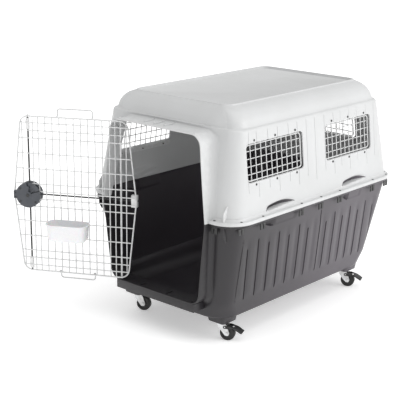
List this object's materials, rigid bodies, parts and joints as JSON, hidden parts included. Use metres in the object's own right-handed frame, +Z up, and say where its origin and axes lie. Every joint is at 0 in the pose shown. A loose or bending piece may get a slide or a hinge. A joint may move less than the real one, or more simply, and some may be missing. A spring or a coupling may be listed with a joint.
{
  "type": "pet transport carrier",
  "caption": "Large two-part plastic animal carrier on swivel casters, with wire window grilles and a hinged wire door that has a rod latch and a hook-on bowl.",
  "frame": {"origin": "on the floor, at the plan centre of the whole carrier with its door open", "axes": "+X to the right of someone facing the door, -Y out of the door side, +Z up"},
  "size_m": [0.8023, 1.0966, 0.768],
  "materials": {
    "white_plastic": "fine moulded grain",
    "charcoal_plastic": "fine moulded grain",
    "white_wire": "plastic-coated",
    "black_rod": "satin",
    "guide_plastic": "smooth",
    "slate_plastic": "fine moulded grain",
    "bowl_plastic": "translucent",
    "black_fastener": "satin",
    "zinc_steel": "zinc plated",
    "hub_plastic": "smooth",
    "tyre_rubber": "smooth tread",
    "pedal_plastic": "smooth"
  },
  "bodies": {
    "carrier": {"bottom_shell": "charcoal_plastic", "caster_bolts": "zinc_steel", "caster_plate_front_left": "zinc_steel", "caster_plate_front_right": "zinc_steel", "caster_plate_rear_left": "zinc_steel", "caster_plate_rear_right": "zinc_steel", "grille_screws": "black_fastener", "rim_bolts": "black_fastener", "rim_nuts": "black_fastener", "top_shell": "white_plastic", "window_grille_left_front": "white_wire", "window_grille_left_rear": "white_wire", "window_grille_rear": "white_wire", "window_grille_right_front": "white_wire", "window_grille_right_rear": "white_wire"},
    "door": {"door_frame": "white_wire", "door_upright_wires": "white_wire", "door_level_wires": "white_wire", "door_top_loop": "white_wire", "door_bottom_loop": "white_wire", "door_hinge_rod": "black_rod", "rod_guide_top": "guide_plastic", "rod_guide_bottom": "guide_plastic", "rod_guide_side": "guide_plastic", "latch_base": "slate_plastic", "latch_cover": "slate_plastic", "latch_screws": "zinc_steel"},
    "trigger": {"latch_trigger": "slate_plastic"},
    "upper_rod": {"latch_upper_rod": "black_rod"},
    "lower_rod": {"latch_lower_rod": "black_rod"},
    "side_rod": {"latch_side_rod": "black_rod"},
    "bowl": {"water_bowl": "bowl_plastic"},
    "swivel_front_right": {"caster_fork_front_right": "zinc_steel", "caster_axle_front_right": "zinc_steel"},
    "wheel_front_right": {"caster_hub_front_right": "hub_plastic", "caster_tyre_front_right": "tyre_rubber"},
    "brake_front_right": {"brake_pedal_front_right": "pedal_plastic"},
    "swivel_front_left": {"caster_fork_front_left": "zinc_steel", "caster_axle_front_left": "zinc_steel"},
    "wheel_front_left": {"caster_hub_front_left": "hub_plastic", "caster_tyre_front_left": "tyre_rubber"},
    "swivel_rear_right": {"caster_fork_rear_right": "zinc_steel", "caster_axle_rear_right": "zinc_steel"},
    "wheel_rear_right": {"caster_hub_rear_right": "hub_plastic", "caster_tyre_rear_right": "tyre_rubber"},
    "brake_rear_right": {"brake_pedal_rear_right": "pedal_plastic"},
    "swivel_rear_left": {"caster_fork_rear_left": "zinc_steel", "caster_axle_rear_left": "zinc_steel"},
    "wheel_rear_left": {"caster_hub_rear_left": "hub_plastic", "caster_tyre_rear_left": "tyre_rubber"}
  },
  "joints": [
    {"name": "door_swing", "type": "hinge", "parent": "carrier", "child": "door", "pos_m": [-0.08084, -0.35471, 0.418], "axis": [0, 0, 1], "range_deg": [-2, 151]},
    {"name": "latch_turn", "type": "hinge", "parent": "door", "child": "trigger", "pos_m": [-0.3515, -0.51618, 0.418], "axis": [0.4848, -0.8746, 0], "range_deg": [0, 28]},
    {"name": "upper_rod_slide", "type": "slide", "parent": "door", "child": "upper_rod", "axis": [0, 0, 1], "range_m": [0, 0.0141]},
    {"name": "lower_rod_slide", "type": "slide", "parent": "door", "child": "lower_rod", "axis": [0, 0, -1], "range_m": [0, 0.0141]},
    {"name": "side_rod_slide", "type": "slide", "parent": "door", "child": "side_rod", "axis": [0.8746, 0.4848, 0], "range_m": [0, 0.0121]},
    {"name": "bowl_lift", "type": "slide", "parent": "door", "child": "bowl", "axis": [0, 0, 1], "range_m": [0, 0.04]},
    {"name": "swivel_front_right_turn", "type": "hinge", "parent": "carrier", "child": "swivel_front_right", "pos_m": [0.26516, -0.24471, 0.06], "axis": [0, 0, 1], "continuous": true},
    {"name": "wheel_front_right_spin", "type": "hinge", "parent": "swivel_front_right", "child": "wheel_front_right", "pos_m": [0.2837, -0.23722, 0.025], "axis": [-0.3746, 0.9272, 0], "continuous": true},
    {"name": "brake_front_right_press", "type": "hinge", "parent": "swivel_front_right", "child": "brake_front_right", "pos_m": [0.27814, -0.23947, 0.047], "axis": [-0.3746, 0.9272, 0], "range_deg": [0, 12]},
    {"name": "swivel_front_left_turn", "type": "hinge", "parent": "carrier", "child": "swivel_front_left", "pos_m": [-0.11284, -0.24471, 0.06], "axis": [0, 0, 1], "continuous": true},
    {"name": "wheel_front_left_spin", "type": "hinge", "parent": "swivel_front_left", "child": "wheel_front_left", "pos_m": [-0.0943, -0.23722, 0.025], "axis": [-0.3746, 0.9272, 0], "continuous": true},
    {"name": "swivel_rear_right_turn", "type": "hinge", "parent": "carrier", "child": "swivel_rear_right", "pos_m": [0.26516, 0.43529, 0.06], "axis": [0, 0, 1], "continuous": true},
    {"name": "wheel_rear_right_spin", "type": "hinge", "parent": "swivel_rear_right", "child": "wheel_rear_right", "pos_m": [0.2837, 0.44278, 0.025], "axis": [-0.3746, 0.9272, 0], "continuous": true},
    {"name": "brake_rear_right_press", "type": "hinge", "parent": "swivel_rear_right", "child": "brake_rear_right", "pos_m": [0.27814, 0.44053, 0.047], "axis": [-0.3746, 0.9272, 0], "range_deg": [0, 12]},
    {"name": "swivel_rear_left_turn", "type": "hinge", "parent": "carrier", "child": "swivel_rear_left", "pos_m": [-0.11284, 0.43529, 0.06], "axis": [0, 0, 1], "continuous": true},
    {"name": "wheel_rear_left_spin", "type": "hinge", "parent": "swivel_rear_left", "child": "wheel_rear_left", "pos_m": [-0.0943, 0.44278, 0.025], "axis": [-0.3746, 0.9272, 0], "continuous": true}
  ],
  "couplings": [
    {"joint": "upper_rod_slide", "follows": "latch_turn", "m_per_rad": 0.028648},
    {"joint": "lower_rod_slide", "follows": "latch_turn", "m_per_rad": 0.028648},
    {"joint": "side_rod_slide", "follows": "latch_turn", "m_per_rad": 0.024555}
  ]
}
